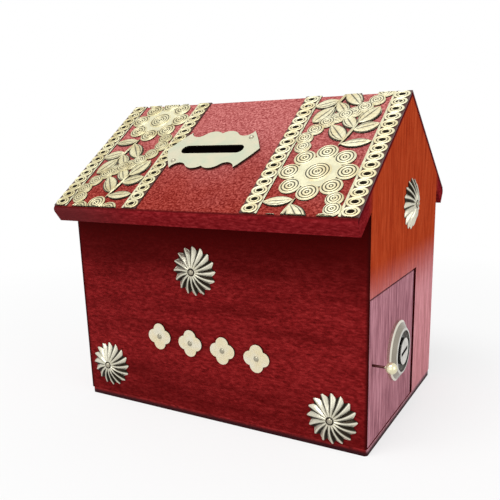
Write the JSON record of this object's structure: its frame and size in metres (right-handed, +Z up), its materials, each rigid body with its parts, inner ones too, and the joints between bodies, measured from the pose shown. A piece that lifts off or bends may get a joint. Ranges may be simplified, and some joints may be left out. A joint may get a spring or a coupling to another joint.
{
  "type": "wooden money box",
  "caption": "House-shaped red wooden money box with pierced brass roof ribbons, a coin slot plate, brass rosettes, and a side door on pins with a cam lock and ball knob",
  "frame": {"origin": "middle of the underside of the base board", "axes": "+X along the ridge towards the gable with the door, +Y from front to back, +Z up"},
  "size_m": [0.1602, 0.1288, 0.1456],
  "materials": {
    "red_wood": "red stained and lacquered",
    "base_wood": "dark stained sheet",
    "stamped_brass": "stamped, pale, with dark grooves",
    "plated_steel": "nickel plated"
  },
  "bodies": {
    "box": {"base_board": "base_wood", "front_wall": "red_wood", "back_wall": "red_wood", "left_gable": "red_wood", "right_gable": "red_wood", "front_roof_board": "red_wood", "back_roof_board": "red_wood", "keeper_block": "red_wood", "roof_band_left": "stamped_brass", "roof_band_right": "stamped_brass", "slot_plate": "stamped_brass", "front_rosette_top": "stamped_brass", "front_rosette_left": "stamped_brass", "front_rosette_right": "stamped_brass", "gable_rosette": "stamped_brass", "front_motif_1": "stamped_brass", "front_motif_2": "stamped_brass", "front_motif_3": "stamped_brass", "front_motif_4": "stamped_brass", "door_pivot_top": "stamped_brass", "door_pivot_bottom": "stamped_brass", "band_pins": "stamped_brass", "slot_plate_nails": "stamped_brass", "rosette_nails": "stamped_brass", "motif_nails": "stamped_brass", "base_nails": "plated_steel"},
    "door": {"door_panel": "red_wood", "lock_body": "plated_steel", "lock_nut": "plated_steel", "door_knob": "stamped_brass"},
    "lock_rotor": {"lock_plug": "plated_steel", "lock_cam": "plated_steel", "cam_screw": "plated_steel"}
  },
  "joints": [
    {"name": "door_swing", "type": "hinge", "parent": "box", "child": "door", "pos_m": [0.072, 0.012, 0.0347], "axis": [0, 0, 1], "range_deg": [0, 100]},
    {"name": "lock_turn", "type": "hinge", "parent": "door", "child": "lock_rotor", "pos_m": [0.075, -0.0128, 0.0342], "axis": [-1, 0, 0], "range_deg": [0, 90]}
  ]
}
